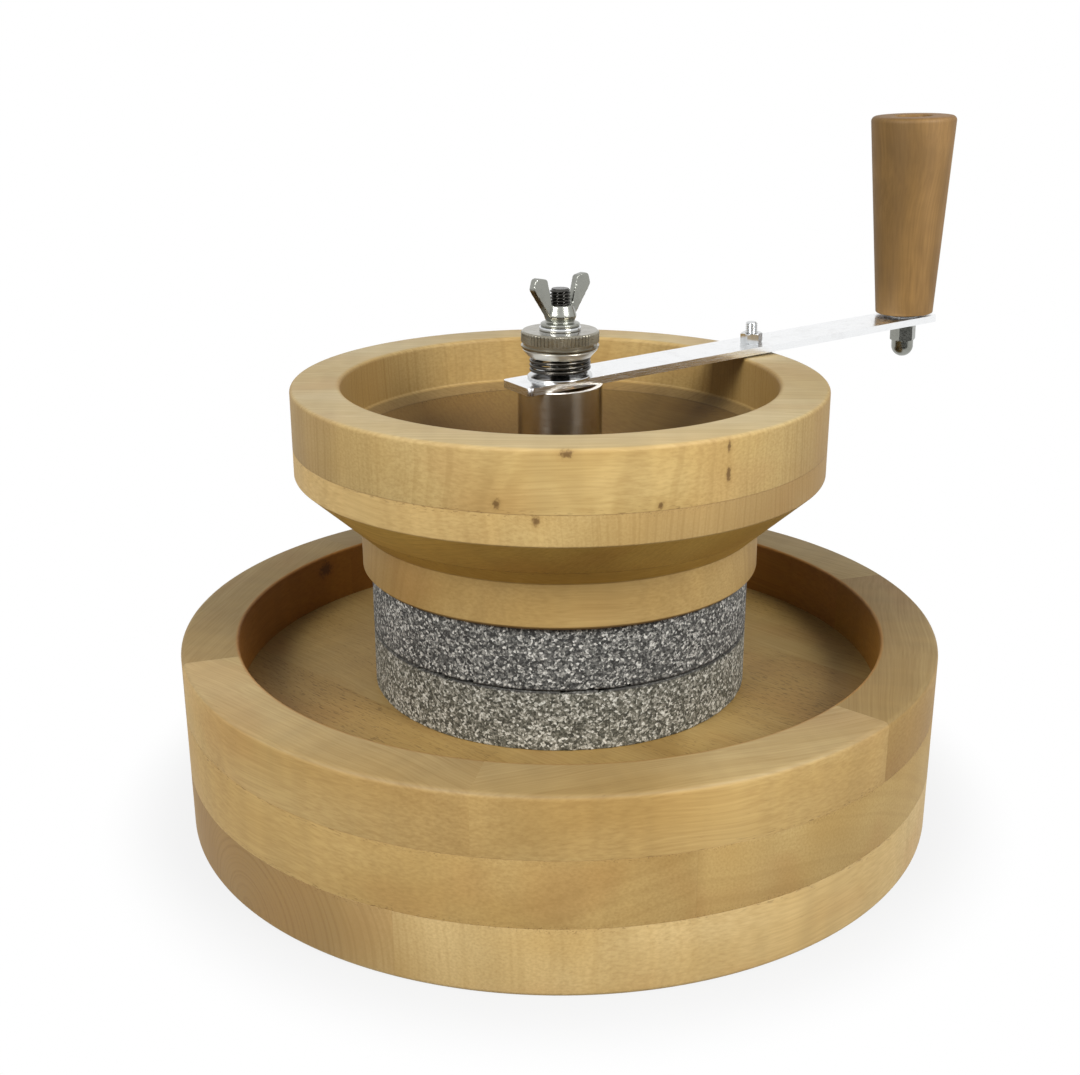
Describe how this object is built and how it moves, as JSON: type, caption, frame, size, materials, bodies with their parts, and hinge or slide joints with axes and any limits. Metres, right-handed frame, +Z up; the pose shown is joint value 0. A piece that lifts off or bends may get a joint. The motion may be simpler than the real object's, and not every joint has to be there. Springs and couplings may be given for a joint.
{
  "type": "stone grain mill",
  "caption": "Hand-cranked stone grain mill: round wooden tray, fixed granite bed stone, and a runner stone turned with its hopper, crank arm and spring pressure adjuster.",
  "frame": {"origin": "on the table under the spindle, at the middle of the tray's flat underside", "axes": "+Z up along the spindle, +X along the crank arm towards the handle at rest, +Y to the left of the arm seen from above"},
  "size_m": [0.3479, 0.3, 0.2663],
  "materials": {
    "oiled_hardwood": "turned and oiled pale hardwood, satin",
    "handle_wood": "turned and varnished hardwood, satin",
    "bed_granite": "ground salt-and-pepper granite",
    "runner_granite": "ground salt-and-pepper granite",
    "zinc_plate": "bright zinc-plated steel",
    "nickel_plate": "nickel-plated turned steel",
    "polished_tube": "polished stainless tube",
    "spring_steel": "drawn spring wire",
    "forged_iron": "forged and blackened iron",
    "bronze": "plain turned bronze"
  },
  "bodies": {
    "base": {"tray_bottom_board": "oiled_hardwood", "tray_floor_board": "oiled_hardwood", "tray_rim_segment_1": "oiled_hardwood", "tray_rim_segment_2": "oiled_hardwood", "tray_rim_segment_3": "oiled_hardwood", "tray_rim_segment_4": "oiled_hardwood", "tray_rim_segment_5": "oiled_hardwood", "tray_rim_segment_6": "oiled_hardwood", "bed_stone": "bed_granite", "spindle": "zinc_plate", "bed_clamp_washer": "zinc_plate", "foot_washer": "zinc_plate", "foot_nut": "zinc_plate", "pressure_spring": "spring_steel"},
    "runner": {"runner_stone": "runner_granite", "rynd": "forged_iron", "rynd_screws": "zinc_plate", "drive_tube": "polished_tube", "lower_bush": "bronze", "upper_bush": "bronze", "hopper_neck_ring": "oiled_hardwood", "hopper_funnel_ring": "oiled_hardwood", "hopper_rim_ring": "oiled_hardwood", "crank_arm": "zinc_plate", "thrust_washer": "zinc_plate", "arm_stud": "zinc_plate", "arm_stud_washer": "zinc_plate", "arm_stud_nut": "zinc_plate", "handle_bolt": "zinc_plate", "handle_sleeve": "zinc_plate", "handle_head_washer": "zinc_plate", "handle_seat_washer": "zinc_plate", "handle_nut_washer": "zinc_plate", "handle_cap_nut": "zinc_plate"},
    "grip": {"grip": "handle_wood"},
    "spring_cup": {"spring_cup": "nickel_plate"},
    "knurled_nut": {"knurled_nut": "nickel_plate"},
    "lock_washer": {"lock_washer": "zinc_plate"},
    "wing_nut": {"wing_nut": "zinc_plate"}
  },
  "joints": [
    {"name": "crank_turn", "type": "hinge", "parent": "base", "child": "runner", "pos_m": [0, 0, 0.0749], "axis": [0, 0, 1], "continuous": true},
    {"name": "grip_spin", "type": "hinge", "parent": "runner", "child": "grip", "pos_m": [0.183, 0, 0.17684], "axis": [-0.0359, 0, 0.9994], "continuous": true},
    {"name": "adjust_travel", "type": "slide", "parent": "base", "child": "spring_cup", "axis": [0, 0, 1], "range_m": [-0.00125, 0.0025], "deforming": ["pressure_spring"]},
    {"name": "adjust_turn", "type": "hinge", "parent": "spring_cup", "child": "knurled_nut", "pos_m": [0, 0, 0.1875], "axis": [0, 0, 1], "range_deg": [-360, 720]},
    {"name": "wing_turn", "type": "hinge", "parent": "knurled_nut", "child": "lock_washer", "pos_m": [0, 0, 0.192], "axis": [0, 0, 1], "range_deg": [0, 1080]},
    {"name": "wing_rise", "type": "slide", "parent": "lock_washer", "child": "wing_nut", "axis": [0, 0, 1], "range_m": [0, 0.00375]}
  ],
  "couplings": [
    {"joint": "adjust_travel", "follows": "adjust_turn", "m_per_rad": 0.00019894},
    {"joint": "wing_rise", "follows": "wing_turn", "m_per_rad": 0.00019894}
  ]
}
